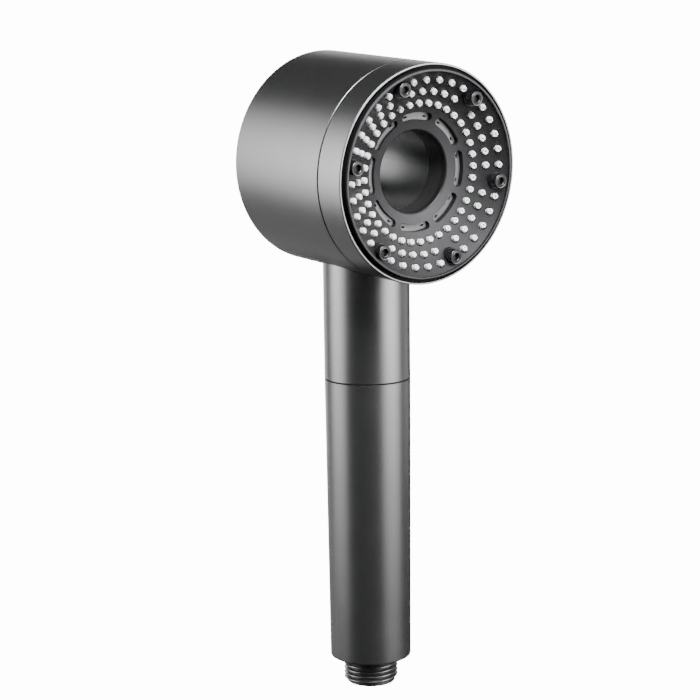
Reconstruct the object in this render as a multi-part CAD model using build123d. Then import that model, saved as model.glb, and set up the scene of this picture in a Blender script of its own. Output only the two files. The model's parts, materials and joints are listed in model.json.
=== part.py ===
"""Handheld shower head with a hollow drum head, in millimetres.

A drum-shaped head with a bore right through it sits on a round neck. A tapered handle screws onto
the neck, holds a filter cartridge and ends in a half-inch hose thread. The front of the drum is a
spray face that turns against the drum to change the spray: a dished plate with three rings of soft
nozzles, six screws and, round the bore, eight curved slots with a pair of fine jets each.

Frame: +Z runs up the handle, and the origin is the centre of the inlet's end face, where the hose
washer seats. The spray face looks towards -Y. Head parts are drawn in the drum's own frame, whose
origin is where the drum's axis meets the handle's, with +Z forwards along the drum, +Y upwards and
+X to the right as seen in the row frame, and are then placed with HEAD.
"""

from build123d import *
from math import asin, cos, degrees, radians, sin, sqrt
import os

# ---- driving dimensions -------------------------------------------------------------------------
overall_height = 245.0
head_radius = 40.5
head_front = 38.5  # rim of the front ring, forward of the handle's axis
head_back = 26.9  # rear edge of the drum, behind the handle's axis
head_tilt = 2.6  # degrees that the spray face looks downwards
neck_radius = 16.5
handle_end_radius = 15.7
bore_radius = 15.2
thread_length = 10.8  # hose thread, from the end face to the handle's floor
handle_top = 121.05
washer_thickness = 0.5
wall = 2.4
seam_gap = 0.55  # visible joint line between the drum and the turning front ring
bore_gap = 0.25  # joint line between the two halves of the bore
running_gap = 0.05

# ---- spray face ---------------------------------------------------------------------------------
rim_wall = 0.7  # front ring, round the groove
plate_radius = 38.4
plate_edge = 39.9  # top of the plate's raised edge
edge_width = 0.9
dish_sphere = 67.7  # radius of the hollow sphere that the face is part of
dish_bottom = 27.64  # where that sphere would meet the drum's axis
dish_outer_radius = 37.5
lip_round = 0.8  # where the dish meets the bore
lip_foot = 27.1  # underside of the plate round the bore
plate_thickness = 2.2
mat_thickness = 1.6
mat_inner_radius = 24.5
mat_outer_radius = 36.1
mat_gap = 0.05
front_tube_end = 19.9  # rear end of the chamber's tube, which lines the front of the bore
nozzle_rings = (25.66, 30.1, 34.5)
nozzles_per_ring = 36
nozzle_turn = 2.25  # degrees that the nozzle pattern stands off the horizontal
nozzle_height = 1.3
nozzle_tip_radius = 1.2
nozzle_base_radius = 1.3
nozzle_hole_radius = 0.4
nozzle_clearance = 0.12
screw_count = 6
screw_circle = 33.7
screw_turn = -7.75
screw_seat = 36.9
screw_head_radius = 2.75
screw_head_height = 3.0
screw_shank_radius = 1.45
screw_length = 10.0
screw_socket = 2.5  # across flats
boss_radius = 3.0
boss_foot = 32.7
insert_radius = 2.08
slot_count = 8
slot_circle = 20.6
slot_width = 2.9
slot_sweep = 30.0  # degrees between the centres of a slot's round ends
jet_bar_width = 2.65
jet_bar_drop = 1.5  # bars lie this far below the face
jet_hole_width = 0.75
jet_hole_sweep = 2.4
jet_hole_place = 12.5  # degrees from a bar's middle to each of its jets

# ---- inside the drum ----------------------------------------------------------------------------
seam_height = 25.6  # rear edge of the front ring
core_radius = 34.4
core_inner_radius = 17.2
tube_radius = 16.7  # outside of the chamber's tube
core_back = -12.0
core_front = 20.4
valve_plate_thickness = 2.8
chamber_radius = 36.9
chamber_floor = 20.8
chamber_floor_thickness = 2.2
chamber_skirt_end = 13.0
divider_radius = 23.0
clip_circle = 34.7
clip_wire_radius = 0.65
clip_height = 15.4
port_count = 3
port_sweep = 34.0
outer_port_circle, outer_port_width = 28.0, 3.2
inner_port_circle, inner_port_width = 20.9, 2.2
seal_circles = (18.25, 24.4, 31.1)
seal_wire_radius = 0.5
mode_step = 30.0  # degrees between clicks
mode_count = 3
click_radius = 1.7
click_circle = 33.2
core_screw_count = 4
core_screw_circle = 27.0
core_screw_turn = 45.0
web_hole_radius = 24.0

# ---- handle and hose thread ---------------------------------------------------------------------
thread_crest_radius = 10.478  # G 1/2
thread_root_radius = 9.35
thread_pitch = 1.814
thread_land = 1.8  # plain crest next to the handle's floor
inlet_bore_radius = 7.5
washer_seat_radius = 8.4
washer_seat_depth = 2.2
floor_thickness = 3.0
inlet_shank_radius = 10.9
tube_inner_radius = 12.9
mouth_radius = 13.9
mouth_floor = 116.3
joint_pitch = 3.0
joint_ridge_height = 1.0
joint_root_radius = 11.6
joint_thread_low, joint_thread_high = 107.0, 115.0
spigot_low = 105.8
pipe_radius = 11.0
pipe_bore_radius = 8.5
filter_radius = 11.5
filter_bore_radius = 4.5

head_height = overall_height - head_radius * cos(radians(head_tilt)) - head_back * sin(radians(head_tilt))
neck_end = handle_top + washer_thickness
forward = (0, -cos(radians(head_tilt)), -sin(radians(head_tilt)))
HEAD = Plane(origin=(0, 0, head_height), x_dir=(1, 0, 0), z_dir=forward).location


# ---- shared helpers -----------------------------------------------------------------------------
def turned(*outline):
    """Solid of revolution about Z, from its half section: (radius, height) corners, and arcs between them."""
    lines = []
    for item, following in zip(outline, outline[1:] + outline[:1]):
        end = item if isinstance(item, tuple) else item @ 1
        start = following if isinstance(following, tuple) else following @ 0
        if not isinstance(item, tuple):
            lines.append(item)
        if (Vector(*start) - Vector(*end)).length > 1e-6:
            lines.append(Line(end, start))
    return revolve(Plane.XZ * make_face(lines), Axis.Z)


def rims(solid, radius, height):
    """Circular edges of a turned solid at one radius and height."""
    return [
        edge
        for edge in solid.edges().filter_by(GeomType.CIRCLE)
        if abs(edge.radius - radius) < 0.01 and abs(edge.arc_center.Z - height) < 0.01
    ]


def on_circle(radius, angle, height=0.0):
    """Location on a circle about Z."""
    return Pos(radius * cos(radians(angle)), radius * sin(radians(angle)), height)


def core_screw_places():
    """Locations of the screws that hold the core to the shell's web."""
    step = 360 / core_screw_count
    return [on_circle(core_screw_circle, core_screw_turn + index * step) for index in range(core_screw_count)]


def cylinder(radius, low, high):
    """Plain cylinder on Z between two heights."""
    return Pos(0, 0, low) * Cylinder(radius, high - low, align=(Align.CENTER, Align.CENTER, Align.MIN))


def o_ring(circle, wire, height):
    """Rubber ring round Z."""
    return Pos(0, 0, height) * Torus(circle, wire)


def curved_slot(circle, width, middle, sweep, low, high):
    """Round-ended slot that follows a circle round Z."""
    arc = CenterArc((0, 0), circle, middle - sweep / 2, sweep)
    return extrude(Pos(0, 0, low) * SlotArc(arc, width), high - low)


def ridge(root, height, foot, crest, pitch, low, high):
    """Helical thread ridge on Z. A negative height makes it point inwards."""
    path = Pos(0, 0, low) * Helix(pitch, high - low, root)
    bury = -0.15 if height > 0 else 0.15
    corners = ((bury, -foot / 2), (bury, foot / 2), (height, crest / 2), (height, -crest / 2))
    section = make_face(Polyline(*corners, close=True))
    start = Plane(origin=path @ 0, x_dir=(1, 0, 0), z_dir=path % 0)
    return sweep(start * section, path=path, is_frenet=True)


def dish(radius):
    """Height of the dished face at a radius."""
    return dish_bottom + dish_sphere - sqrt(dish_sphere**2 - radius**2)


def dish_arc(start, end, drop):
    """Arc of the dished face between two radii, lowered by a drop."""
    middle = (start + end) / 2
    return ThreePointArc(*[(radius, dish(radius) - drop) for radius in (start, middle, end)])


def nozzle_places():
    """(ring radius, angle) of every nozzle. The two outer rings leave room for the screws."""
    places = []
    for ring_number, radius in enumerate(nozzle_rings):
        for index in range(nozzles_per_ring):
            angle = nozzle_turn + index * 360 / nozzles_per_ring
            off_screw = (angle - screw_turn) % (360 / screw_count)
            if ring_number == 0 or min(off_screw, 360 / screw_count - off_screw) > 1:
                places.append((radius, angle))
    return places


def screw_angles():
    """Angles of the face screws."""
    return [screw_turn + index * 360 / screw_count for index in range(screw_count)]


def ports(circle, width, first, low, high):
    """Ring of curved water ports."""
    middles = [first + index * 360 / port_count for index in range(port_count)]
    return [curved_slot(circle, width, middle, port_sweep, low, high) for middle in middles]


# ---- spray face: everything that turns with the front ring --------------------------------------
def front_ring():
    """Grip ring with a thin rim round the face and a spigot that closes the seam to the drum."""
    inner, spigot = chamber_radius + 0.1, head_radius - wall - 0.3
    step = plate_edge - 3.9
    ring = turned(
        (inner, seam_height - 3.1),
        (spigot, seam_height - 3.1),
        (spigot, seam_height),
        (head_radius, seam_height),
        (head_radius, head_front),
        (head_radius - rim_wall, head_front),
        (head_radius - rim_wall, step),
        (inner, step),
    )
    ring = fillet(rims(ring, head_radius, head_front), 0.35)
    return chamfer(rims(ring, head_radius, seam_height), 0.15)


def spray_plate():
    """Dished face plate with its raised edge, the slotted band and the front of the bore."""
    rest = dish_outer_radius - 1.0  # the plate lies on the front ring from here outwards
    plate = turned(
        (bore_radius, lip_foot),
        (tube_radius, lip_foot),
        dish_arc(tube_radius, rest, plate_thickness),
        (plate_radius, dish(rest) - plate_thickness),
        (plate_radius, plate_edge),
        (plate_radius - edge_width, plate_edge),
        dish_arc(dish_outer_radius, bore_radius, 0),
    )
    plate = fillet(rims(plate, bore_radius, dish(bore_radius)), lip_round)
    plate = fillet(rims(plate, plate_radius, plate_edge), 0.35)
    for angle in screw_angles():
        plate += on_circle(screw_circle, angle) * cylinder(boss_radius, boss_foot, screw_seat)
    cuts = []
    for angle in screw_angles():
        place = on_circle(screw_circle, angle)
        cuts.append(place * cylinder(screw_head_radius + 0.3, screw_seat, plate_edge + 2))
        cuts.append(place * cylinder(screw_shank_radius + 0.2, boss_foot - 1, screw_seat + 1))
    for radius, angle in nozzle_places():
        hole = cylinder(nozzle_base_radius + nozzle_clearance, dish(radius) - 5, dish(radius) + 3)
        cuts.append(on_circle(radius, angle) * hole)
    for index in range(slot_count):
        angle = index * 360 / slot_count
        low, high = dish(slot_circle) - 5, dish(slot_circle) + 3
        cuts.append(curved_slot(slot_circle, slot_width, angle, slot_sweep, low, high))
    return plate - cuts


def nozzle_mat():
    """Soft mat that lies under the plate. Its nozzles stand square to the dished face."""
    top = plate_thickness + mat_gap
    low = top + mat_thickness
    mat = turned(
        dish_arc(mat_inner_radius, mat_outer_radius, low),
        dish_arc(mat_outer_radius, mat_inner_radius, top),
    )
    mat -= [on_circle(screw_circle, a) * cylinder(boss_radius + 0.3, 25, 45) for a in screw_angles()]
    foot = -top - mat_thickness / 2
    upright = (Align.CENTER, Align.CENTER, Align.MIN)
    tip = Cone(nozzle_base_radius, nozzle_tip_radius, nozzle_height, align=upright)
    stem = Sphere(nozzle_base_radius) + cylinder(nozzle_base_radius, foot, 0)
    nubs, holes = [], []
    for radius, angle in nozzle_places():
        place = on_circle(radius, angle, dish(radius)) * Rot(0, 0, angle)
        lean = Rot(0, -degrees(asin(radius / dish_sphere)), 0)
        nubs.append(place * (stem + lean * tip))
        holes.append(place * cylinder(nozzle_hole_radius, foot - 3, 0.2))
        holes.append(place * lean * cylinder(nozzle_hole_radius, 0, nozzle_height + 1))
    return (mat + nubs) - holes


def jet_ring():
    """Ring behind the slotted band whose raised bars lie in the slots, each with two fine jets."""
    top = dish(tube_radius) - plate_thickness - running_gap
    low = top - 2.0
    ring = cylinder(divider_radius - 0.2, low, top) - cylinder(tube_radius + 0.1, low - 1, top + 1)
    bars, holes = [], []
    for index in range(slot_count):
        middle = index * 360 / slot_count
        bar_top = dish(slot_circle) - jet_bar_drop
        bars.append(curved_slot(slot_circle, jet_bar_width, middle, slot_sweep, top - 0.5, bar_top))
        for side in (-1, 1):
            place = middle + side * jet_hole_place
            hole = curved_slot(slot_circle, jet_hole_width, place, jet_hole_sweep, low - 1, bar_top + 1)
            holes.append(hole)
    return (ring + bars) - holes


def spray_chamber():
    """Turning water chamber: bore tube, ported floor, skirt, dividing walls and the screw bosses."""
    floor_top = chamber_floor + chamber_floor_thickness
    under_mat = plate_thickness + mat_thickness + 2 * mat_gap
    wall_top = dish(mat_outer_radius) - under_mat
    divider_top = dish(divider_radius) - plate_thickness - running_gap
    outer = chamber_radius - 1.4
    tube_top = lip_foot - running_gap
    chamber = turned(
        (bore_radius, front_tube_end),
        (tube_radius, front_tube_end),
        (tube_radius, chamber_floor),
        (35.0, chamber_floor),
        (35.0, clip_height + 0.8),
        (35.5, clip_height + 0.8),
        (35.5, clip_height - 0.8),
        (35.0, clip_height - 0.8),
        (35.0, chamber_skirt_end),
        (chamber_radius - 0.1, chamber_skirt_end),
        (chamber_radius - 0.1, chamber_floor),
        (chamber_radius, chamber_floor),
        (chamber_radius, wall_top),
        (outer, wall_top - 0.8),
        (outer, floor_top),
        (divider_radius + 1.1, floor_top),
        (divider_radius + 1.1, divider_top),
        (divider_radius, divider_top),
        (divider_radius, floor_top),
        (tube_radius, floor_top),
        (tube_radius, tube_top),
        (bore_radius, tube_top),
    )
    top = boss_foot - running_gap
    screws = [on_circle(screw_circle, angle) for angle in screw_angles()]
    chamber += [place * cylinder(boss_radius + 0.1, chamber_floor + 1, top) for place in screws]
    cuts = [place * cylinder(insert_radius + 0.02, top - 8, top + 1) for place in screws]
    cuts += [place * cylinder(boss_radius + 0.1, top, top + 9) for place in screws]
    cuts += ports(outer_port_circle, outer_port_width, 0, chamber_floor - 1, floor_top + 1)
    cuts += ports(inner_port_circle, inner_port_width, 0, chamber_floor - 1, floor_top + 0.5)
    for mode in range(mode_count):
        groove = Rot(0, 90, 0) * Cylinder(click_radius, 3.2)
        cuts.append(Rot(0, 0, 90 - mode * mode_step) * Pos(click_circle, 0, chamber_floor - 1.0) * groove)
    return chamber - cuts


def face_screws():
    """Six socket-head screws that clamp the plate and mat to the chamber."""
    shank = cylinder(screw_shank_radius, screw_seat - screw_length, screw_seat + 0.1)
    head = cylinder(screw_head_radius, screw_seat, screw_seat + screw_head_height)
    head = chamfer(rims(head, screw_head_radius, screw_seat + screw_head_height), 0.3)
    socket = Pos(0, 0, screw_seat + 1.4) * extrude(RegularPolygon(screw_socket / 2, 6, major_radius=False), 3)
    screw = (head + shank) - socket
    return [on_circle(screw_circle, angle) * Rot(0, 0, angle) * screw for angle in screw_angles()]


def screw_inserts():
    """Brass inserts in the chamber's bosses."""
    top = boss_foot - running_gap
    insert = cylinder(insert_radius, top - 6, top) - cylinder(screw_shank_radius + 0.03, top - 7, top + 1)
    return [on_circle(screw_circle, angle) * insert for angle in screw_angles()]


def face_gasket():
    """Black rubber ring at the bottom of the groove between the plate and the front ring."""
    low, top = plate_edge - 3.8, plate_edge - 2.8
    outer, inner = head_radius - rim_wall - running_gap, plate_radius + running_gap
    return cylinder(outer, low, top) - cylinder(inner, low - 1, top + 1)


# ---- head: the drum and what is fixed in it -----------------------------------------------------
def head_shell():
    """Outer drum and neck in one moulding, with an inner web that the water core is screwed to."""
    inside = head_radius - wall
    front = seam_height - seam_gap
    drum = HEAD * cylinder(head_radius, -head_back, front)
    neck = Pos(0, 0, neck_end) * Cylinder(
        neck_radius, head_height - neck_end, align=(Align.CENTER, Align.CENTER, Align.MIN)
    )
    shell = drum + neck
    shell -= HEAD * cylinder(inside, -head_back - 1, front + 1)
    shell -= Pos(0, 0, neck_end - 1) * Cylinder(
        mouth_radius, head_height - neck_end, align=(Align.CENTER, Align.CENTER, Align.MIN)
    )
    web = cylinder(inside + 0.5, core_back - wall, core_back - running_gap)
    web -= cylinder(web_hole_radius, -30, 0)
    web -= [place * cylinder(1.7, -30, 0) for place in core_screw_places()]
    shell += HEAD * web
    outer = [e for e in shell.edges().filter_by(GeomType.CIRCLE) if abs(e.radius - head_radius) < 0.01]
    height = {id(edge): (HEAD.inverse() * edge).arc_center.Z for edge in outer}
    shell = fillet([e for e in outer if height[id(e)] < -20], 1.2)
    return chamfer([e for e in outer if height[id(e)] > 20], 0.15)


def water_core():
    """Fixed water way: ring-shaped hub in the drum, pipe down the neck and threaded spigot."""
    hub = turned(
        (core_inner_radius, core_back),
        (core_radius, core_back),
        (core_radius, clip_height - 0.8),
        (core_radius - 0.4, clip_height - 0.8),
        (core_radius - 0.4, clip_height + 0.8),
        (core_radius, clip_height + 0.8),
        (core_radius, core_front - valve_plate_thickness),
        (core_inner_radius, core_front - valve_plate_thickness),
    )
    hub_floor = core_back + 4
    cavity = cylinder(core_radius - 2, hub_floor, 30) - cylinder(core_inner_radius + 1.8, hub_floor - 1, 31)
    pilots = [place * cylinder(1.3, core_back - 1, core_back + 3.2) for place in core_screw_places()]
    spigot = turned(
        (pipe_bore_radius, spigot_low),
        (joint_root_radius - 0.4, spigot_low),
        (joint_root_radius, spigot_low + 0.4),
        (joint_root_radius, mouth_floor + 0.3),
        (13.2, mouth_floor + 0.3),
        (13.2, 118.1),
        (11.95, 118.1),
        (11.95, 120.3),
        (13.2, 120.3),
        (13.2, neck_end + 0.1),
        (mouth_radius - 0.15, neck_end + 0.1),
        (mouth_radius - 0.15, neck_end + 5),
        (pipe_radius, neck_end + 7),
        (pipe_radius, head_height - core_inner_radius - 3),
        (pipe_bore_radius, head_height - core_inner_radius - 3),
    )
    hub_clear = HEAD * (cylinder(core_inner_radius + 1.8, -60, 60) + cavity)
    core = (spigot - hub_clear) + HEAD * (hub - cavity)
    pipe_bore = Pos(0, 0, spigot_low - 1) * Cylinder(
        pipe_bore_radius,
        head_height - core_inner_radius - 4 - spigot_low,
        align=(Align.CENTER, Align.CENTER, Align.MIN),
    )
    core -= pipe_bore
    core -= [HEAD * pilot for pilot in pilots]
    thread = ridge(
        joint_root_radius, joint_ridge_height, 1.5, 0.7, joint_pitch, joint_thread_low, joint_thread_high
    )
    return core + thread


def valve_plate():
    """Fixed ported disc that closes the hub, with grooves for the seals and a pocket for the spring."""
    low = core_front - valve_plate_thickness
    plate = cylinder(core_radius, low, core_front) - cylinder(core_inner_radius, low - 1, core_front + 1)
    cuts = ports(outer_port_circle, outer_port_width, 0, low - 1, core_front + 1)
    cuts += ports(inner_port_circle, inner_port_width, 60, low - 1, core_front + 1)
    for circle in seal_circles:
        depth = core_front - 0.7
        cuts.append(cylinder(circle + 0.55, depth, 30) - cylinder(circle - 0.55, depth - 1, 31))
    cuts.append(Pos(0, 33.25, core_front) * Box(14, 1.5, 2.4))
    return plate - cuts


def valve_seals():
    """Rubber rings between the valve plate and the turning chamber."""
    height = chamber_floor - seal_wire_radius - running_gap
    return [o_ring(circle, seal_wire_radius, height) for circle in seal_circles]


def click_spring():
    """Leaf spring whose hump drops into a notch of the chamber at each spray setting."""
    low = core_front - 1.05
    ends, knees, crown = (-6, 6), (-2, 2), low + 1.8
    centre = Line((ends[0], low), (knees[0], low + 0.25))
    centre += ThreePointArc((knees[0], low + 0.25), (0, crown), (knees[1], low + 0.25))
    centre += Line((knees[1], low + 0.25), (ends[1], low))
    strip = trace(centre, line_width=0.25)
    return Pos(0, 33.9, 0) * extrude(Plane.XZ * strip, 1.2)


def retaining_clip():
    """Split wire ring that holds the turning face on the fixed core."""
    path = CenterArc((0, 0, clip_height), clip_circle, -75, 330)
    start = Plane(origin=path @ 0, z_dir=path % 0)
    return sweep(start * Circle(clip_wire_radius), path=path)


def bore_sleeve():
    """Fixed lining of the bore with a flange over the rear cover."""
    outer = bore_radius + 1.4
    sleeve = turned(
        (bore_radius, -head_back),
        (outer + 1.9, -head_back),
        (outer + 1.9, -head_back + 0.6),
        (outer, -head_back + 0.6),
        (outer, front_tube_end - bore_gap),
        (bore_radius, front_tube_end - bore_gap),
    )
    sleeve = fillet(rims(sleeve, outer + 1.9, -head_back), 0.3)
    return fillet(rims(sleeve, bore_radius, -head_back), 1.0)


def rear_cover():
    """Ring-shaped cover that snaps into the back of the drum."""
    inner, outer = bore_radius + 1.6, head_radius - wall - 0.15
    face = -head_back + 0.65
    return turned(
        (inner, face),
        (outer - 0.3, face),
        (outer, face + 0.3),
        (outer, face + 6),
        (outer - 1.5, face + 6),
        (outer - 1.5, face + 2),
        (inner + 1.6, face + 2),
        (inner + 1.6, face + 5),
        (inner, face + 5),
    )


def core_screws():
    """Four pan-head screws that hold the core to the shell's web, under the rear cover."""
    seat = core_back - wall
    head = cylinder(2.8, seat - 2, seat)
    head = fillet(rims(head, 2.8, seat - 2), 0.8)
    cross = Pos(0, 0, seat - 2) * (Box(3, 0.7, 1.6) + Box(0.7, 3, 1.6))
    screw = (head + cylinder(1.25, seat - 0.1, core_back + 3)) - cross
    return [place * screw for place in core_screw_places()]


def spigot_seal():
    """Rubber ring that seals the neck's spigot in the mouth of the handle."""
    return o_ring(12.9, 0.93, 119.2)


# ---- handle: the held body ----------------------------------------------------------------------
def joint_washer():
    """Thin black washer between the neck and the handle."""
    outer, inner = neck_radius - 0.25, mouth_radius + 0.3
    return cylinder(outer, handle_top, neck_end) - cylinder(inner, handle_top - 1, neck_end + 1)


def handle_tube():
    """Tapered handle with a floor for the inlet and an inner thread for the neck."""
    floor_top = thread_length + floor_thickness
    tube = turned(
        (inlet_shank_radius + 0.1, thread_length),
        (handle_end_radius, thread_length),
        (neck_radius, handle_top),
        (mouth_radius, handle_top),
        (mouth_radius, mouth_floor),
        (tube_inner_radius, mouth_floor),
        (tube_inner_radius, floor_top),
        (inlet_shank_radius + 0.1, floor_top),
    )
    tube = fillet(rims(tube, handle_end_radius, thread_length), 0.6)
    tube = chamfer(rims(tube, neck_radius, handle_top), 0.15)
    lift = joint_pitch / 2
    thread = ridge(
        tube_inner_radius, -0.95, 1.5, 0.7, joint_pitch, joint_thread_low + lift, joint_thread_high - 0.5
    )
    return tube + thread


def inlet_fitting():
    """Hose connector: flange inside the handle and a G 1/2 thread below it."""
    land_low = thread_length - thread_land
    flange = thread_length + floor_thickness + 1.1
    body = turned(
        (washer_seat_radius, 0),
        (thread_root_radius, 0),
        (thread_root_radius, land_low - 0.9),
        (thread_crest_radius, land_low),
        (thread_crest_radius, thread_length),
        (inlet_shank_radius, thread_length),
        (inlet_shank_radius, flange),
        (tube_inner_radius - 0.2, flange),
        (tube_inner_radius - 0.2, flange + 2.6),
        (inlet_bore_radius, flange + 2.6),
        (inlet_bore_radius, washer_seat_depth),
        (washer_seat_radius, washer_seat_depth),
    )
    height = thread_crest_radius - thread_root_radius
    thread = ridge(thread_root_radius, height, 1.45, 0.3, thread_pitch, 1.0, land_low - 0.4)
    return body + thread


def inlet_seal():
    """Rubber ring between the inlet's flange and the handle's floor."""
    return o_ring(11.8, 0.54, thread_length + floor_thickness + 0.55)


def inlet_strainer():
    """Round strainer that keeps grit out of the handle."""
    low = 1.5
    disc = cylinder(washer_seat_radius - 0.1, low, low + 0.6)
    holes = [cylinder(0.55, 0, 4)]
    for ring_number in range(1, 5):
        count = 6 * ring_number
        circle = 1.65 * ring_number
        holes += [on_circle(circle, index * 360 / count) * cylinder(0.55, 0, 4) for index in range(count)]
    return disc - holes


def flow_regulator():
    """Flow-limiting disc in the inlet's bore."""
    disc = cylinder(inlet_bore_radius - 0.05, 6, 9)
    holes = [on_circle(4.6, index * 36) * cylinder(0.8, 5, 10) for index in range(10)]
    return disc - holes


def filter_cap_lower():
    """Lower end cap of the filter cartridge, standing on the inlet's flange."""
    low = thread_length + floor_thickness + 3.75
    return turned(
        (filter_bore_radius, low),
        (filter_radius + 0.7, low),
        (filter_radius + 0.7, low + 5),
        (filter_radius + 0.05, low + 5),
        (filter_radius + 0.05, low + 2),
        (filter_bore_radius, low + 2),
    )


def filter_core():
    """Felted filter sleeve."""
    low = thread_length + floor_thickness + 5.8
    return cylinder(filter_radius, low, 99) - cylinder(filter_bore_radius, low - 1, 100)


def filter_cap_upper():
    """Upper end cap of the filter cartridge, with a nipple that reaches into the spigot."""
    return turned(
        (filter_bore_radius, 99.05),
        (filter_radius + 0.05, 99.05),
        (filter_radius + 0.05, 96.5),
        (filter_radius + 0.7, 96.5),
        (filter_radius + 0.7, 101.5),
        (7.6, 101.5),
        (7.6, 107.0),
        (6.3, 107.0),
        (6.3, 109.4),
        (7.6, 109.4),
        (7.6, 110.6),
        (filter_bore_radius, 110.6),
    )


def filter_seal():
    """Rubber ring that seals the cartridge in the spigot."""
    return o_ring(7.35, 1.02, 108.2)


# ---- assembly -----------------------------------------------------------------------------------
IN_HEAD_FRAME = (
    front_ring,
    spray_plate,
    nozzle_mat,
    jet_ring,
    spray_chamber,
    face_screws,
    screw_inserts,
    face_gasket,
    valve_plate,
    valve_seals,
    click_spring,
    retaining_clip,
    bore_sleeve,
    rear_cover,
    core_screws,
)
IN_ROW_FRAME = (
    head_shell,
    water_core,
    spigot_seal,
    joint_washer,
    handle_tube,
    inlet_fitting,
    inlet_seal,
    inlet_strainer,
    flow_regulator,
    filter_cap_lower,
    filter_core,
    filter_cap_upper,
    filter_seal,
)


def solids_of(made):
    """Flat list of the solids in a shape or a list of shapes."""
    shapes = made if isinstance(made, list) else [made]
    return [solid for shape in shapes for solid in shape.solids()]


def main():
    """Writes one STEP file per node."""
    os.makedirs("parts", exist_ok=True)
    for place, makers in ((HEAD, IN_HEAD_FRAME), (Location(), IN_ROW_FRAME)):
        for make in makers:
            solids = [place * solid for solid in solids_of(make())]
            shape = solids[0] if len(solids) == 1 else Compound(children=solids)
            export_step(shape, f"parts/{make.__name__}.step")
            print(make.__name__, len(solids), flush=True)


main()
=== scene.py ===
"""Studio scene and finished pieces for a handheld shower head with a hollow drum head.

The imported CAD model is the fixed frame. This file dresses every node in a procedural finish, models
the nozzles, face screws, neck washer and hose thread in finer detail, and sets up the studio and the
camera.
All lengths are in metres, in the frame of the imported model: +Z up the handle, spray face towards -Y.
"""

import json
import logging
import math
from dataclasses import dataclass
from enum import Enum
from typing import Iterable, Sequence

import bmesh
import bpy
from mathutils import Matrix, Vector


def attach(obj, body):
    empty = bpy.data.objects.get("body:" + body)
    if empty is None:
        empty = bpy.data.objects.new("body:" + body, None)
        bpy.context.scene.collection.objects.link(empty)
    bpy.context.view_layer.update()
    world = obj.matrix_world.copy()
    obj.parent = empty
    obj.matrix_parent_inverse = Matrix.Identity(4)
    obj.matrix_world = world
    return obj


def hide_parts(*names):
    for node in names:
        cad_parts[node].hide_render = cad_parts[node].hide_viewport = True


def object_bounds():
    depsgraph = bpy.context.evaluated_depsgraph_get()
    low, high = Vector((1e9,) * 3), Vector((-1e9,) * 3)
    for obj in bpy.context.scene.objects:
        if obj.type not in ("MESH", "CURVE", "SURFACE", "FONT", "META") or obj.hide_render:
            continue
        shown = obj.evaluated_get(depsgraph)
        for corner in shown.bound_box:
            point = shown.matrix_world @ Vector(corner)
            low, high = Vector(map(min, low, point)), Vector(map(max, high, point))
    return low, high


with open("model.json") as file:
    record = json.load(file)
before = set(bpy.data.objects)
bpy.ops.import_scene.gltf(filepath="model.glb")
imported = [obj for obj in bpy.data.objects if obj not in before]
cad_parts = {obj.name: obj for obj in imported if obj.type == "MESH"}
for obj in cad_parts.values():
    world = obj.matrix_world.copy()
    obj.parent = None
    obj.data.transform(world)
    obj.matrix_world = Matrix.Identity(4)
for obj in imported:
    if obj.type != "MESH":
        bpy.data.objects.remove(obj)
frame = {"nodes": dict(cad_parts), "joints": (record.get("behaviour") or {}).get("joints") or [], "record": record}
CAD_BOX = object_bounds()

MM = 0.001
ROUND_STEPS = 144  # segments round a wide turned piece
MOTTLE_SIZE = 0.03  # metres across a patch of the colour's mottling
MARK_SIZE = 0.012  # metres across a handling mark
log = logging.getLogger("shower_head")


class Body(Enum):
    """Bodies of the frame that the new pieces ride on."""

    HANDLE = "handle"
    WASHER = "washer"
    FACE = "face"


class Grain(Enum):
    """Kinds of fine surface relief."""

    SATIN = "satin"
    MOULDED = "moulded"
    FELT = "felt"
    TURNED = "turned"


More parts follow.
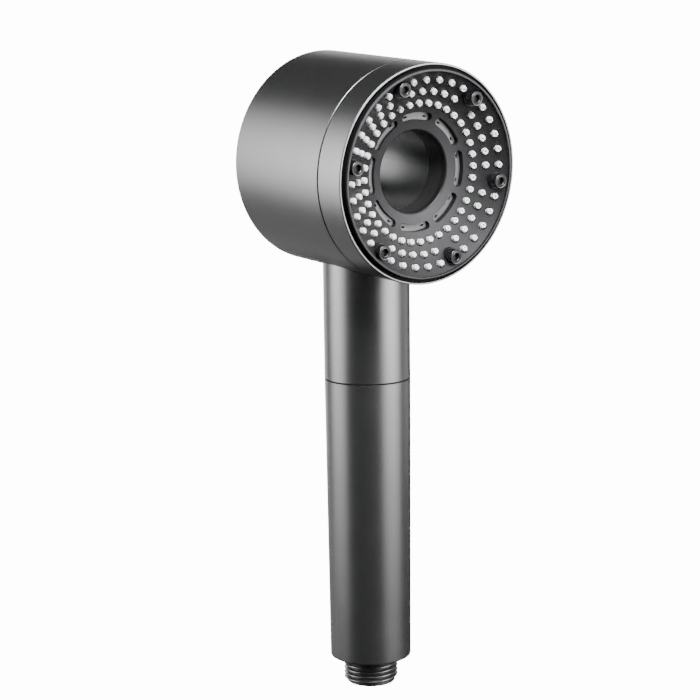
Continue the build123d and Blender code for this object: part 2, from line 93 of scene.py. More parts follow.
# ---- finishes ------------------------------------------------------------------------------------
@dataclass(frozen=True)
class Finish:
    """A surface finish: its record slot, its colour and how it shines.

    Attributes:
        slot: Material slot of the record.
        colour: Linear base colour.
        metallic: Metallic share of the shader.
        roughness: Mean roughness.
        roughness_spread: How far the roughness wanders round its mean.
        mottle: How far the colour's brightness wanders, as a share.
        grain: Kind of relief.
        grain_size: Size of one grain, in metres.
        relief: Depth of the relief, in metres.
        coat: Weight of a clear coat.
        softness: Subsurface weight.
        specular: Strength of the surface reflection of a finish that isn't metal.
    """

    slot: str
    colour: tuple[float, float, float]
    metallic: float = 0.0
    roughness: float = 0.5
    roughness_spread: float = 0.05
    mottle: float = 0.06
    grain: Grain = Grain.MOULDED
    grain_size: float = 0.0006
    relief: float = 0.00001
    coat: float = 0.0
    softness: float = 0.0
    specular: float = 0.5

    def make(self) -> bpy.types.Material:
        """Builds the material.

        Returns:
            The material, on Object coordinates.
        """
        material = bpy.data.materials.new(self.slot)
        material.use_nodes = True
        tree = material.node_tree
        shader = tree.nodes["Principled BSDF"]
        shader.inputs["Metallic"].default_value = self.metallic
        shader.inputs["Coat Weight"].default_value = self.coat
        shader.inputs["Coat Roughness"].default_value = 0.2
        shader.inputs["Subsurface Weight"].default_value = self.softness
        shader.inputs["Specular IOR Level"].default_value = self.specular
        shader.inputs["Subsurface Radius"].default_value = (1.0, 1.0, 1.0)
        shader.inputs["Subsurface Scale"].default_value = 0.0006
        place = tree.nodes.new("ShaderNodeTexCoord").outputs["Object"]
        self._colour(tree, place, shader)
        self._roughness(tree, place, shader)
        self._relief(tree, place, shader)
        material.diffuse_color = (*self.colour, 1.0)
        return material

    def _noise(
        self, tree: bpy.types.NodeTree, place: bpy.types.NodeSocket, size: float, detail: float
    ) -> bpy.types.Node:
        """Adds a noise texture.

        Args:
            tree: Node tree of the material.
            place: Socket with the coordinates to read.
            size: Size of its features, in metres.
            detail: Octaves of finer noise.

        Returns:
            The noise node.
        """
        noise = tree.nodes.new("ShaderNodeTexNoise")
        noise.inputs["Scale"].default_value = 1.0 / size
        noise.inputs["Detail"].default_value = detail
        noise.inputs["Roughness"].default_value = 0.55
        tree.links.new(place, noise.inputs["Vector"])
        return noise

    def _colour(
        self, tree: bpy.types.NodeTree, place: bpy.types.NodeSocket, shader: bpy.types.Node
    ) -> None:
        """Links a slow mottling of the base colour.

        Args:
            tree: Node tree of the material.
            place: Socket with the coordinates to read.
            shader: Shader that takes the result.
        """
        noise = self._noise(tree, place, MOTTLE_SIZE, 4.0)
        ramp = tree.nodes.new("ShaderNodeValToRGB")
        low, high = 1.0 - self.mottle, 1.0 + self.mottle
        ramp.color_ramp.elements[0].position = 0.3
        ramp.color_ramp.elements[1].position = 0.7
        ramp.color_ramp.elements[0].color = (*(c * low for c in self.colour), 1.0)
        ramp.color_ramp.elements[1].color = (*(c * high for c in self.colour), 1.0)
        tree.links.new(noise.outputs["Fac"], ramp.inputs["Fac"])
        tree.links.new(ramp.outputs["Color"], shader.inputs["Base Color"])

    def _roughness(
        self, tree: bpy.types.NodeTree, place: bpy.types.NodeSocket, shader: bpy.types.Node
    ) -> None:
        """Links handling marks: patches that are a little smoother or rougher.

        Args:
            tree: Node tree of the material.
            place: Socket with the coordinates to read.
            shader: Shader that takes the result.
        """
        noise = self._noise(tree, place, MARK_SIZE, 6.0)
        spread = tree.nodes.new("ShaderNodeMapRange")
        spread.inputs["From Min"].default_value = 0.3
        spread.inputs["From Max"].default_value = 0.7
        spread.inputs["To Min"].default_value = self.roughness - self.roughness_spread
        spread.inputs["To Max"].default_value = self.roughness + self.roughness_spread
        tree.links.new(noise.outputs["Fac"], spread.inputs["Value"])
        tree.links.new(spread.outputs["Result"], shader.inputs["Roughness"])

    def _relief(
        self, tree: bpy.types.NodeTree, place: bpy.types.NodeSocket, shader: bpy.types.Node
    ) -> None:
        """Links the fine relief of the chosen grain.

        Args:
            tree: Node tree of the material.
            place: Socket with the coordinates to read.
            shader: Shader that takes the result.
        """
        if self.grain is Grain.TURNED:
            rings = tree.nodes.new("ShaderNodeTexWave")
            rings.wave_type = "BANDS"
            rings.bands_direction = "Z"
            rings.inputs["Scale"].default_value = 1.0 / self.grain_size
            rings.inputs["Distortion"].default_value = 0.4
            tree.links.new(place, rings.inputs["Vector"])
            height = rings.outputs["Fac"]
        elif self.grain is Grain.FELT:
            stretch = tree.nodes.new("ShaderNodeMapping")
            stretch.inputs["Scale"].default_value = (1.0, 1.0, 0.18)
            tree.links.new(place, stretch.inputs["Vector"])
            height = self._noise(tree, stretch.outputs["Vector"], self.grain_size, 8.0).outputs["Fac"]
        else:
            detail = 2.0 if self.grain is Grain.SATIN else 5.0
            height = self._noise(tree, place, self.grain_size, detail).outputs["Fac"]
        bump = tree.nodes.new("ShaderNodeBump")
        bump.inputs["Strength"].default_value = 1.0
        bump.inputs["Distance"].default_value = self.relief
        tree.links.new(height, bump.inputs["Height"])
        tree.links.new(bump.outputs["Normal"], shader.inputs["Normal"])


GUNMETAL = Finish(
    "coated_shell", (0.2, 0.2, 0.205), metallic=0.96, roughness=0.34, roughness_spread=0.015,
    mottle=0.03, grain=Grain.SATIN, grain_size=0.00035, relief=0.0000015,
)
FACE_GREY = Finish(
    "spray_face", (0.036, 0.036, 0.038), metallic=0.75, roughness=0.42, roughness_spread=0.03,
    mottle=0.05, grain=Grain.MOULDED, grain_size=0.0003, relief=0.000006,
)
BORE_GREY = Finish(
    "bore_lining", (0.18, 0.18, 0.184), metallic=0.95, roughness=0.36, roughness_spread=0.03,
    mottle=0.05, grain=Grain.MOULDED, grain_size=0.0004, relief=0.000004,
)
WHITE_SILICONE = Finish(
    "soft_nozzles", (0.98, 0.98, 0.975), roughness=0.45, grain_size=0.0005, relief=0.000004,
    mottle=0.03, softness=0.2,
)
PALE_PLASTIC = Finish("pale_jets", (0.13, 0.13, 0.13), roughness=0.5, relief=0.000004)
BLACK_PLASTIC = Finish("black_plastic", (0.016, 0.016, 0.017), roughness=0.42, relief=0.000008)
BLACK_RUBBER = Finish(
    "black_rubber", (0.006, 0.006, 0.006), roughness=0.7, relief=0.000008, specular=0.12,
)
BLACK_OXIDE = Finish(
    "dark_screws", (0.024, 0.024, 0.026), metallic=0.7, roughness=0.42, grain=Grain.SATIN,
    grain_size=0.0003, relief=0.000002,
)
# Lighter bare steel for the screw heads' rim and socket mouth: worn edges, and also a painted highlight ring.
WORN_EDGE_AND_HIGHLIGHT = Finish(
    "worn_edge", (0.15, 0.15, 0.15), metallic=1.0, roughness=0.36, grain=Grain.SATIN,
    grain_size=0.0002, relief=0.000002,
)
SPRING_STEEL = Finish(
    "spring_steel", (0.55, 0.55, 0.54), metallic=1.0, roughness=0.25, grain=Grain.TURNED,
    grain_size=0.0006, relief=0.000002,
)
BRASS = Finish(
    "brass_inserts", (0.75, 0.52, 0.2), metallic=1.0, roughness=0.3, grain=Grain.TURNED,
    grain_size=0.0008, relief=0.00001,
)
FELT = Finish(
    "filter_felt", (0.8, 0.8, 0.78), roughness=0.95, mottle=0.08, grain=Grain.FELT,
    grain_size=0.0009, relief=0.00025,
)
WHITE_PLASTIC = Finish("white_plastic", (0.75, 0.75, 0.74), roughness=0.4, relief=0.000006)
FINE_MESH = Finish(
    "fine_mesh", (0.5, 0.5, 0.5), metallic=1.0, roughness=0.35, grain=Grain.SATIN,
    grain_size=0.0002, relief=0.000004,
)
FINISHES = (
    GUNMETAL, FACE_GREY, BORE_GREY, WHITE_SILICONE, PALE_PLASTIC, BLACK_PLASTIC, BLACK_RUBBER,
    BLACK_OXIDE, WORN_EDGE_AND_HIGHLIGHT, SPRING_STEEL, BRASS, FELT, WHITE_PLASTIC, FINE_MESH,
)


# ---- shared mesh tools ---------------------------------------------------------------------------
def drum_frame() -> Matrix:
    """Finds the drum's own frame from the joint that turns the spray face.

    Returns:
        Matrix from the drum's frame, +Z forwards and +Y up, to the row frame.
    """
    joint = next(j for j in frame["joints"] if j["name"] == "spray_select")
    forwards = Vector(joint["axis"]).normalized()
    right = Vector((1.0, 0.0, 0.0))
    up = forwards.cross(right)
    turn = Matrix((right, up, forwards)).transposed().to_4x4()
    return Matrix.Translation(Vector(joint["pos_m"])) @ turn


def lathe(mesh: bmesh.types.BMesh, outline: Sequence[tuple[float, float]], steps: int) -> None:
    """Spins an outline about Z into `mesh`.

    Args:
        mesh: Mesh that receives the turned shape.
        outline: (radius, height) corners. A closed ring repeats its first corner at its end.
        steps: Segments round the full turn.
    """
    known = set(mesh.verts)
    closed = outline[0] == outline[-1]
    open_outline = outline[:-1] if closed else outline
    corners = [mesh.verts.new((radius, 0.0, height)) for radius, height in open_outline]
    if closed:
        corners.append(corners[0])
    edges = [mesh.edges.new(pair) for pair in zip(corners, corners[1:])]
    bmesh.ops.spin(
        mesh, geom=list(dict.fromkeys(corners)) + edges, cent=(0, 0, 0), axis=(0, 0, 1), dvec=(0, 0, 0),
        angle=math.tau, steps=steps, use_merge=True, use_duplicate=False,
    )
    made = [v for v in mesh.verts if v not in known]
    bmesh.ops.remove_doubles(mesh, verts=made, dist=1e-7)


def repeat(mesh: bmesh.types.BMesh, places: Iterable[Matrix]) -> None:
    """Copies the whole of `mesh` to each place and deletes the original.

    Args:
        mesh: Mesh to repeat.
        places: Matrices of the copies.
    """
    source = list(mesh.verts) + list(mesh.edges) + list(mesh.faces)
    originals = list(mesh.verts)
    for place in places:
        copy = bmesh.ops.duplicate(mesh, geom=source)
        moved = [part for part in copy["geom"] if isinstance(part, bmesh.types.BMVert)]
        bmesh.ops.transform(mesh, matrix=place, verts=moved)
    bmesh.ops.delete(mesh, geom=originals, context="VERTS")


def turned_place(radius: float, angle: float, height: float, spin: float = 0.0) -> Matrix:
    """Place on a circle about Z.

    Args:
        radius: Radius of the circle.
        angle: Angle round the circle, in degrees.
        height: Height of the place.
        spin: Turn of the piece about its own axis, in degrees.

    Returns:
        Matrix of the place.
    """
    turn = math.radians(angle)
    offset = Vector((radius * math.cos(turn), radius * math.sin(turn), height))
    return Matrix.Translation(offset) @ Matrix.Rotation(math.radians(spin), 4, "Z")


def finish_piece(
    name: str,
    mesh: bmesh.types.BMesh,
    place: Matrix,
    materials: Sequence[bpy.types.Material],
    smooth_below: float = 35.0,
) -> bpy.types.Object:
    """Turns a bmesh into a piece at the origin with its place in its mesh.

    Args:
        name: Name of the piece.
        mesh: Closed mesh in its own frame. It is freed.
        place: Matrix from that frame to the row frame.
        materials: Finishes of the piece, in the order of its faces' material numbers.
        smooth_below: Edges that turn less than this many degrees are shaded smooth.

    Returns:
        The new object.
    """
    bmesh.ops.recalc_face_normals(mesh, faces=mesh.faces)
    bmesh.ops.transform(mesh, matrix=place, verts=mesh.verts)
    limit = math.radians(smooth_below)
    for face in mesh.faces:
        face.smooth = True
    for edge in mesh.edges:
        edge.smooth = len(edge.link_faces) == 2 and edge.calc_face_angle(0.0) < limit
    data = bpy.data.meshes.new(name)
    mesh.to_mesh(data)
    mesh.free()
    for material in materials:
        data.materials.append(material)
    piece = bpy.data.objects.new(name, data)
    bpy.context.scene.collection.objects.link(piece)
    return piece


@dataclass
class Workshop:
    """Holds the finishes and the drum's frame, and puts pieces on their bodies."""

    materials: dict[str, bpy.types.Material]
    drum: Matrix

    def deliver(self, piece: bpy.types.Object, body: Body, finish: Finish, *nodes: str) -> None:
        """Fixes a finished piece to its body and hides the plain nodes it stands for.

        Args:
            piece: The finished piece.
            body: Body that it rides on.
            finish: Finish of the piece. Not used.
            nodes: CAD nodes that it replaces.
        """
        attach(piece, body.value)
        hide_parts(*nodes)
        log.info("%s: %d faces, rides on %s", piece.name, len(piece.data.polygons), body.value)

    def dress_nodes(self) -> None:
        """Gives every CAD node the finish of its record slot."""
        slots = {part["node"]: part["material_slot"] for part in frame["record"]["subparts"]}
        for name, node in frame["nodes"].items():
            node.data.materials.clear()
            node.data.materials.append(self.materials[slots[name]])
            log.info("%s: dressed in %s", name, slots[name])


# ---- spray face ----------------------------------------------------------------------------------
@dataclass
class SprayFace:
    """Soft nozzles and face screws. Lengths are in metres, in the drum's frame."""

    sphere: float = 67.7 * MM
    sphere_bottom: float = 27.64 * MM
    plate_thickness: float = 2.2 * MM
    mat_thickness: float = 1.6 * MM
    mat_gap: float = 0.05 * MM
    mat_inner: float = 24.5 * MM
    mat_outer: float = 36.1 * MM
    ring_radii: tuple[float, ...] = (25.66 * MM, 30.1 * MM, 34.5 * MM)
    nozzles_per_ring: int = 36
    nozzle_turn: float = 2.25
    nozzle_radius: float = 1.2 * MM
    nozzle_height: float = 1.35 * MM
    nozzle_steps: int = 20
    outlet_radius: float = 0.27 * MM
    screw_count: int = 6
    screw_circle: float = 33.7 * MM
    screw_turn: float = -7.75
    screw_seat: float = 36.9 * MM
    screw_hole: float = 3.3 * MM
    head_radius: float = 2.75 * MM
    head_height: float = 3.0 * MM
    shank_radius: float = 1.45 * MM
    screw_length: float = 10.0 * MM
    socket_apothem: float = 1.25 * MM
    mouth_share: float = 1.19
    knurl_steps: int = 72
    screw_spins: tuple[float, ...] = (12.0, 47.0, 3.0, 28.0, 55.0, 34.0)

    def dish(self, radius: float) -> float:
        """Height of the dished face at a radius."""
        return self.sphere_bottom + self.sphere - math.sqrt(self.sphere**2 - radius**2)

    def screw_angles(self) -> list[float]:
        """Angles of the screws round the drum's axis, in degrees."""
        return [self.screw_turn + index * 360.0 / self.screw_count for index in range(self.screw_count)]

    def ring_places(self, ring: int) -> list[Matrix]:
        """Places of one ring's nozzles. The two outer rings leave room for the screws.

        Args:
            ring: Number of the ring, from the inside.

        Returns:
            One matrix for each nozzle.
        """
        places = []
        pitch = 360.0 / self.screw_count
        radius = self.ring_radii[ring]
        for index in range(self.nozzles_per_ring):
            angle = self.nozzle_turn + index * 360.0 / self.nozzles_per_ring
            off_screw = (angle - self.screw_turn) % pitch
            if ring == 0 or min(off_screw, pitch - off_screw) > 1.0:
                places.append(turned_place(radius, angle, self.dish(radius), angle))
        return places

    def nozzle(self, lean: float) -> bmesh.types.BMesh:
        """One nozzle with a rounded tip and a countersunk outlet, its foot in the mat.

        Args:
            lean: Angle that the tip leans towards the drum's axis, in radians.

        Returns:
            The nozzle, its foot's centre at the origin.
        """
        mesh = bmesh.new()
        foot = -self.plate_thickness - self.mat_gap - self.mat_thickness / 2
        wide, bore, tip = self.nozzle_radius, self.outlet_radius, self.nozzle_height
        side = (
            (bore, foot),
            (wide, foot),
            (wide, 0.4 * foot),
            (wide, 0.0),
            (0.96 * wide, 0.45 * tip),
            (0.925 * wide, 0.75 * tip),
            (0.87 * wide, 0.91 * tip),
            (0.76 * wide, 0.985 * tip),
            (0.62 * wide, tip),
            (0.42 * wide, 0.985 * tip),
            (0.28 * wide, 0.9 * tip),
            (bore, 0.72 * tip),
            (bore, 0.0),
            (bore, foot),
        )
        lathe(mesh, side, self.nozzle_steps)
        above = [corner for corner in mesh.verts if corner.co.z > -0.1 * MM]
        bmesh.ops.rotate(mesh, verts=above, cent=(0, 0, 0), matrix=Matrix.Rotation(-lean, 3, "Y"))
        return mesh

    def mat(self) -> bmesh.types.BMesh:
        """The dished mat under the plate, before room is cut for the screws.

        Returns:
            The mat, in the drum's frame.
        """
        steps = 6
        radii = [self.mat_inner + (self.mat_outer - self.mat_inner) * k / steps for k in range(steps + 1)]
        top = self.plate_thickness + self.mat_gap
        upper = [(radius, self.dish(radius) - top) for radius in radii]
        lower = [(radius, height - self.mat_thickness) for radius, height in reversed(upper)]
        mesh = bmesh.new()
        lathe(mesh, [*upper, *lower, upper[0]], ROUND_STEPS)
        return mesh

    def nozzles(self, shop: Workshop) -> bpy.types.Object:
        """Builds the mat with all its nozzles as one piece.

        Args:
            shop: Workshop that holds the finishes.

        Returns:
            The piece.
        """
        mat = finish_piece("nozzle_mat_blank", self.mat(), Matrix(), [])
        pegs = bmesh.new()
        bmesh.ops.create_cone(
            pegs, cap_ends=True, segments=48, radius1=self.screw_hole, radius2=self.screw_hole, depth=0.03
        )
        rooms = [turned_place(self.screw_circle, angle, self.screw_seat) for angle in self.screw_angles()]
        repeat(pegs, rooms)
        cutter = finish_piece("screw_room", pegs, Matrix(), [])
        cut = mat.modifiers.new("screw_room", "BOOLEAN")
        cut.object = cutter
        cut.operation = "DIFFERENCE"
        cut.solver = "EXACT"
        bpy.context.view_layer.update()
        shaped = mat.evaluated_get(bpy.context.evaluated_depsgraph_get())
        mesh = bmesh.new()
        mesh.from_mesh(bpy.data.meshes.new_from_object(shaped))
        for ring, radius in enumerate(self.ring_radii):
            tips = self.nozzle(math.asin(radius / self.sphere))
            repeat(tips, self.ring_places(ring))
            row = bpy.data.meshes.new(f"nozzle_row_{ring}")
            tips.to_mesh(row)
            tips.free()
            mesh.from_mesh(row)
            bpy.data.meshes.remove(row)
        bpy.data.objects.remove(mat)
        bpy.data.objects.remove(cutter)
        return finish_piece("soft_nozzles", mesh, shop.drum, [shop.materials[WHITE_SILICONE.slot]], 50.0)

    def screw(self) -> bmesh.types.BMesh:
        """One socket-head screw: knurled side, rounded rim and a six-sided socket.

        Returns:
            The screw, with the seat of its head at the origin.
        """
        wide, tall, shank = self.head_radius, self.head_height, self.shank_radius
        mouth = self.socket_apothem * self.mouth_share
        mesh = bmesh.new()
        outline = (
            (0.0, -self.screw_length),
            (0.8 * shank, -self.screw_length),
            (shank, -self.screw_length + 0.4 * MM),
            (shank, 0.0),
            (0.9 * wide, 0.0),
            (wide, 0.08 * tall),
            (wide, 0.12 * tall),
            (wide, 0.8 * tall),
            (wide, 0.86 * tall),
            (0.985 * wide, 0.93 * tall),
            (0.95 * wide, 0.975 * tall),
            (0.91 * wide, tall),
            (0.87 * wide, 0.99 * tall),
            (0.845 * wide, 0.95 * tall),
            (1.14 * mouth, 0.95 * tall),
            (1.08 * mouth, 0.97 * tall),
            (mouth, 0.94 * tall),
        )
        lathe(mesh, outline, self.knurl_steps)
        self._knurl(mesh)
        rim = [edge for edge in mesh.edges if edge.is_boundary]
        for height, reach in ((0.9 * tall, 1.0), (0.5 * tall, 1.0), (0.46 * tall, 0.96)):
            rim = self._socket_ring(mesh, rim, height, reach)
        floor = bmesh.ops.extrude_edge_only(mesh, edges=rim)
        tips = [part for part in floor["geom"] if isinstance(part, bmesh.types.BMVert)]
        bmesh.ops.pointmerge(mesh, verts=tips, merge_co=Vector((0.0, 0.0, 0.36 * tall)))
        return mesh

    def _knurl(self, mesh: bmesh.types.BMesh) -> None:
        """Presses straight knurls into the side of the head.

        Args:
            mesh: Mesh of the screw.
        """
        for corner in mesh.verts:
            radius = math.hypot(corner.co.x, corner.co.y)
            on_side = 0.1 * self.head_height < corner.co.z < 0.83 * self.head_height
            if on_side and radius > 0.99 * self.head_radius:
                step = round(math.atan2(corner.co.y, corner.co.x) / math.tau * self.knurl_steps)
                if step % 2:
                    corner.co.x *= 0.955
                    corner.co.y *= 0.955

    def _socket_ring(
        self, mesh: bmesh.types.BMesh, rim: list[bmesh.types.BMEdge], height: float, reach: float
    ) -> list[bmesh.types.BMEdge]:
        """Extrudes the mouth's edge loop to a six-sided ring.

        Args:
            mesh: Mesh of the screw.
            rim: Edge loop to start from.
            height: Height of the new ring.
            reach: Size of the ring, as a share of the socket.

        Returns:
            The new edge loop.
        """
        grown = bmesh.ops.extrude_edge_only(mesh, edges=rim)["geom"]
        sector = math.tau / 6
        for corner in (part for part in grown if isinstance(part, bmesh.types.BMVert)):
            angle = math.atan2(corner.co.y, corner.co.x)
            off_flat = (angle % sector) - sector / 2
            radius = reach * self.socket_apothem / math.cos(off_flat)
            corner.co = Vector((radius * math.cos(angle), radius * math.sin(angle), height))
        return [part for part in grown if isinstance(part, bmesh.types.BMEdge)]

    def screws(self, shop: Workshop) -> bpy.types.Object:
        """Builds the face screws as one piece, with worn steel edges that also serve as a painted highlight ring
        on the rim and the socket mouth.

        Args:
            shop: Workshop that holds the finishes.

        Returns:
            The piece.
        """
        mesh = self.screw()
        # Faces on the head's rim and socket mouth take the lighter worn-steel finish, which also paints the
        # highlight ring there.
        mouth = 1.12 * self.mouth_share * self.socket_apothem
        for face in mesh.faces:
            middle = face.calc_center_median()
            radius = math.hypot(middle.x, middle.y)
            rim_wear_and_highlight = middle.z > 0.96 * self.head_height and radius > 0.85 * self.head_radius
            mouth_wear_and_highlight = middle.z > 0.945 * self.head_height and radius < mouth
            face.material_index = 1 if rim_wear_and_highlight or mouth_wear_and_highlight else 0
        turns = zip(self.screw_angles(), self.screw_spins)
        repeat(mesh, [turned_place(self.screw_circle, turn, self.screw_seat, spin) for turn, spin in turns])
        finishes = [shop.materials[BLACK_OXIDE.slot], shop.materials[WORN_EDGE_AND_HIGHLIGHT.slot]]
        return finish_piece("face_cap_screws", mesh, shop.drum, finishes, 40.0)

    def build(self, shop: Workshop) -> None:
        """Builds both pieces and puts them on the turning face."""
        shop.deliver(self.nozzles(shop), Body.FACE, WHITE_SILICONE, "nozzle_mat")
        shop.deliver(self.screws(shop), Body.FACE, BLACK_OXIDE, "face_screws")


# ---- joint between neck and handle ---------------------------------------------------------------
@dataclass
class NeckJoint:
    """The black washer that shows as a line below the neck. Lengths are in metres, in the row frame."""

    inner: float = 14.2 * MM
    outer: float = 16.46 * MM
    low: float = 121.05 * MM
    thickness: float = 0.5 * MM
    chamfer: float = 0.15 * MM
    swell_share: float = 0.85
    neck_inset: float = 0.2 * MM

    def build(self, shop: Workshop) -> None:
        """Builds the washer, whose edge swells a little into the bevels above and below it.

        Args:
            shop: Workshop that delivers the piece.
        """
        high, swell = self.low + self.thickness, self.swell_share * self.chamfer
        neck = self.outer - self.neck_inset
        outline = (
            (self.inner, self.low),
            (neck, self.low),
            (self.outer, self.low - swell),
            (self.outer, high + swell),
            (neck, high),
            (self.inner, high),
            (self.inner, self.low),
        )
        mesh = bmesh.new()
        lathe(mesh, outline, ROUND_STEPS)
        piece = finish_piece("neck_washer", mesh, Matrix(), [shop.materials[BLACK_RUBBER.slot]])
        shop.deliver(piece, Body.WASHER, BLACK_RUBBER, "joint_washer")


# ---- hose inlet ----------------------------------------------------------------------------------
@dataclass
class HoseInlet:
    """The threaded hose connector. Lengths are in metres, in the row frame."""

    crest: float = 10.478 * MM
    root: float = 9.35 * MM
    pitch: float = 1.814 * MM
    length: float = 10.8 * MM
    land: float = 1.8 * MM
    thread_start: float = 1.0 * MM
    seat_radius: float = 8.4 * MM
    seat_depth: float = 2.2 * MM
    bore: float = 7.5 * MM
    shank: float = 10.9 * MM
    flange_radius: float = 12.7 * MM
    flange_low: float = 14.9 * MM
    flange_thickness: float = 2.6 * MM
    edge_round: float = 0.15 * MM
    ridge_foot: float = 0.15 * MM
    fade: float = 0.35
    steps: int = 96

    def body(self) -> bmesh.types.BMesh:
        """Turned body, with small rounds on its edges, without the thread.

        Returns:
            The body, in the row frame.
        """
        mesh = bmesh.new()
        round_off = self.edge_round
        land_low = self.length - self.land
        outline = (
            (self.seat_radius, round_off),
            (self.seat_radius + round_off, 0.0),
            (self.root - 2 * round_off, 0.0),
            (self.root, 2 * round_off),
            (self.root, land_low - 0.9 * MM),
            (self.crest - round_off, land_low - round_off),
            (self.crest, land_low),
            (self.crest, self.length),
            (self.shank, self.length),
            (self.shank, self.flange_low),
            (self.flange_radius, self.flange_low),
            (self.flange_radius, self.flange_low + self.flange_thickness),
            (self.bore, self.flange_low + self.flange_thickness),
            (self.bore, self.seat_depth),
            (self.seat_radius, self.seat_depth),
            (self.seat_radius, round_off),
        )
        lathe(mesh, outline, self.steps)
        return mesh

    def thread(self) -> bmesh.types.BMesh:
        """Helical ridge with a rounded crest that fades out at both ends.

        Returns:
            The ridge, in the row frame.
        """
        mesh = bmesh.new()
        high = self.crest - self.root
        half = self.pitch / 2
        section = (
            (-self.ridge_foot, -0.84 * half), (0.04 * high, -0.8 * half), (0.72 * high, -0.3 * half),
            (0.94 * high, -0.16 * half), (high, 0.0), (0.94 * high, 0.16 * half),
            (0.72 * high, 0.3 * half), (0.04 * high, 0.8 * half), (-self.ridge_foot, 0.84 * half),
        )
        turns = (self.length - self.land - 0.4 * MM - self.thread_start) / self.pitch
        steps = round(turns * self.steps)
        ring = [mesh.verts.new((self.root + out, 0.0, self.thread_start + up)) for out, up in section]
        edges = [mesh.edges.new(pair) for pair in zip(ring, ring[1:] + ring[:1])]
        bmesh.ops.spin(
            mesh, geom=ring + edges, cent=(0, 0, 0), axis=(0, 0, 1), dvec=(0, 0, turns * self.pitch / steps),
            angle=turns * math.tau, steps=steps, use_merge=False, use_duplicate=False,
        )
        bmesh.ops.holes_fill(mesh, edges=[edge for edge in mesh.edges if edge.is_boundary], sides=0)
        for corner in mesh.verts:
            self._fade_end(corner, turns)
        return mesh

    def _fade_end(self, corner: bmesh.types.BMVert, turns: float) -> None:
        """Sinks a corner of the ridge into the root near either end of the thread.

        Args:
            corner: Corner to move.
            turns: Turns of the whole thread.
        """
        angle = math.atan2(corner.co.y, corner.co.x) / math.tau
        climbed = (corner.co.z - self.thread_start) / self.pitch
        along = angle + round(climbed - angle)
        share = min(max(min(along, turns - along) / self.fade, 0.0), 1.0)
        radius = math.hypot(corner.co.x, corner.co.y)
        sunk = self.root - self.ridge_foot
        wanted = sunk + (radius - sunk) * share * share * (3.0 - 2.0 * share)
        corner.co.x *= wanted / radius
        corner.co.y *= wanted / radius

    def build(self, shop: Workshop) -> None:
        """Builds the connector and puts it on the handle.

        Args:
            shop: Workshop that holds the finishes and delivers the piece.
        """
        body, thread = self.body(), self.thread()
        bmesh.ops.recalc_face_normals(thread, faces=thread.faces)
        ridge = bpy.data.meshes.new("ridge")
        thread.to_mesh(ridge)
        thread.free()
        body.from_mesh(ridge)
        bpy.data.meshes.remove(ridge)
        piece = finish_piece("hose_connector", body, Matrix(), [shop.materials[GUNMETAL.slot]])
        shop.deliver(piece, Body.HANDLE, GUNMETAL, "inlet_fitting")


# ---- studio --------------------------------------------------------------------------------------
@dataclass
class Softbox:
    """A rectangular studio light whose middle is brighter than its edge.

    Attributes:
        name: Name of the light.
        azimuth: Direction from the object, in degrees from +X towards +Y.
        elevation: Direction above the horizon, in degrees.
        distance: Distance from the object, in metres.
        width: Width of the whole box.
        height: Height of the whole box.
        power: Power of the whole box, in watts.
        steps: Nested panels that make the bright middle.
    """

    name: str
    azimuth: float
    elevation: float
    distance: float
    width: float
    height: float
    power: float
    steps: int = 1

    def build(self, target: Vector) -> None:
        """Adds the nested panels.

        Args:
            target: Point that they face.
        """
        turn, tip = math.radians(self.azimuth), math.radians(self.elevation)
        away = Vector((math.cos(turn) * math.cos(tip), math.sin(turn) * math.cos(tip), math.sin(tip)))
        scales = [(step + 1) / self.steps for step in range(self.steps)]
        shares = [scale**2 * (2 * (self.steps - step) - 1) for step, scale in enumerate(scales)]
        for step, (scale, share) in enumerate(zip(scales, shares)):
            light = bpy.data.lights.new(f"{self.name}_{step}", "AREA")
            light.shape = "RECTANGLE"
            light.size = self.width * scale
            light.size_y = self.height * scale
            light.energy = self.power * share / sum(shares)
            lamp = bpy.data.objects.new(light.name, light)
            bpy.context.scene.collection.objects.link(lamp)
            lamp.location = target + away * (self.distance + 0.002 * step)
            lamp.rotation_euler = away.to_track_quat("Z", "Y").to_euler()
            lamp.visible_camera = False


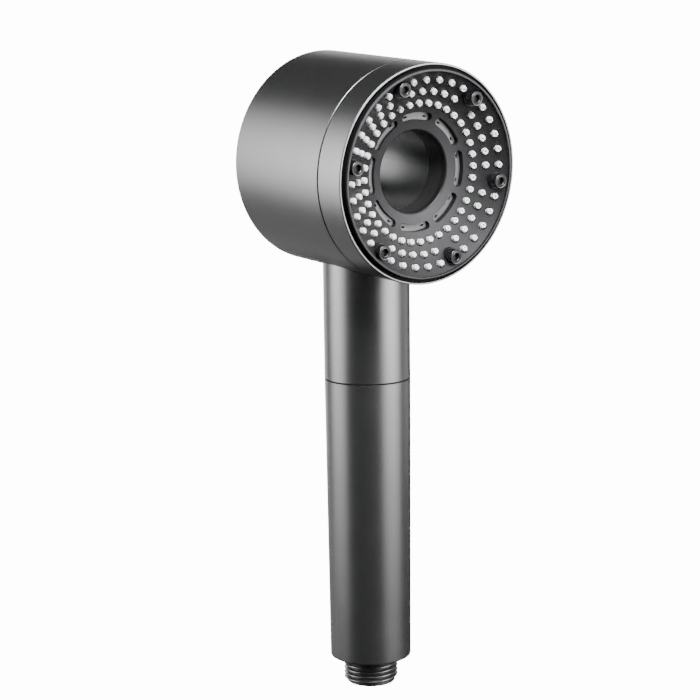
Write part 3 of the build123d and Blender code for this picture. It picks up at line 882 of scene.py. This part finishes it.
@dataclass
class Studio:
    """Pale floor, pale surroundings, soft lights and the camera."""

    target: Vector
    floor_drop: float = 0.75
    floor_size: float = 8.0
    surroundings: float = 0.03
    background: float = 14.0
    camera_azimuth: float = -36.70
    camera_elevation: float = 10.30
    camera_roll: float = -0.78
    camera_place: tuple[float, float, float] = (-0.4792, -0.6319, 0.2759)
    lens: float = 108.27

    def build(self) -> None:
        """Builds the whole studio."""
        self._world()
        self._floor()
        self._lights()
        self._camera()
        log.info("studio ready")

    def _world(self) -> None:
        """Pale surroundings for the eye, dimmer ones for lighting and reflections."""
        world = bpy.data.worlds.new("surroundings")
        bpy.context.scene.world = world
        world.use_nodes = True
        tree = world.node_tree
        seen = tree.nodes["Background"]
        seen.inputs["Color"].default_value = (1.0, 1.0, 1.0, 1.0)
        seen.inputs["Strength"].default_value = self.background
        felt = tree.nodes.new("ShaderNodeBackground")
        felt.inputs["Color"].default_value = (1.0, 1.0, 1.0, 1.0)
        felt.inputs["Strength"].default_value = self.surroundings
        mix = tree.nodes.new("ShaderNodeMixShader")
        rays = tree.nodes.new("ShaderNodeLightPath")
        tree.links.new(rays.outputs["Is Camera Ray"], mix.inputs["Fac"])
        tree.links.new(felt.outputs["Background"], mix.inputs[1])
        tree.links.new(seen.outputs["Background"], mix.inputs[2])
        tree.links.new(mix.outputs["Shader"], tree.nodes["World Output"].inputs["Surface"])

    def _floor(self) -> None:
        """Wide pale floor below the hanging object."""
        mesh = bmesh.new()
        bmesh.ops.create_grid(mesh, x_segments=8, y_segments=8, size=self.floor_size / 2)
        lowest = CAD_BOX[0][2] - self.floor_drop
        material = bpy.data.materials.new("pale_floor")
        material.use_nodes = True
        shader = material.node_tree.nodes["Principled BSDF"]
        shader.inputs["Base Color"].default_value = (0.9, 0.9, 0.9, 1.0)
        shader.inputs["Roughness"].default_value = 0.9
        shader.inputs["Emission Color"].default_value = (1.0, 1.0, 1.0, 1.0)
        shader.inputs["Emission Strength"].default_value = self.background
        floor = finish_piece("floor", mesh, Matrix.Translation((0.0, 0.0, lowest)), [material])
        floor.visible_glossy = False
        floor.visible_diffuse = False

    def _lights(self) -> None:
        """Tall boxes left and right, one behind, two weak ones and a fill on the face."""
        boxes = (
            Softbox("left_box", 147.0, 11.0, 0.55, 0.68, 0.86, 4.6, steps=6),
            Softbox("right_box", -60.0, 12.0, 0.55, 0.72, 0.86, 6.4, steps=6),
            Softbox("back_box", 66.0, 4.5, 0.9, 1.1, 0.64, 4.6),
            Softbox("edge_box", 0.0, 4.5, 0.9, 0.4, 0.64, 0.8),
            Softbox("low_box", 96.0, -27.0, 0.42, 0.4, 0.2, 0.1),
            Softbox("face_fill", -112.0, 52.0, 1.2, 0.5, 0.5, 32.0),
        )
        for box in boxes:
            box.build(self.target)

    def _camera(self) -> None:
        """Three-quarter camera, a little above the part."""
        turn, tip = math.radians(self.camera_azimuth), math.radians(self.camera_elevation)
        back = Vector((math.sin(turn) * math.cos(tip), -math.cos(turn) * math.cos(tip), math.sin(tip)))
        right = Vector((math.cos(turn), math.sin(turn), 0.0))
        level = Matrix((right, back.cross(right), back)).transposed()
        rolled = level @ Matrix.Rotation(math.radians(self.camera_roll), 3, "Z")
        data = bpy.data.cameras.new("camera")
        data.lens = self.lens
        data.sensor_width = 36.0
        data.clip_start = 0.01
        camera = bpy.data.objects.new("camera", data)
        bpy.context.scene.collection.objects.link(camera)
        camera.matrix_world = Matrix.Translation(self.camera_place) @ rolled.to_4x4()
        bpy.context.scene.camera = camera


def main() -> None:
    """Builds the studio, dresses the frame and adds the finished pieces."""
    logging.basicConfig(level=logging.INFO, format="%(name)s: %(message)s")
    low, high = (Vector(corner) for corner in CAD_BOX)
    Studio(target=(low + high) / 2).build()
    shop = Workshop({finish.slot: finish.make() for finish in FINISHES}, drum_frame())
    shop.dress_nodes()
    SprayFace().build(shop)
    NeckJoint().build(shop)
    HoseInlet().build(shop)


if __name__ == "__main__":
    main()
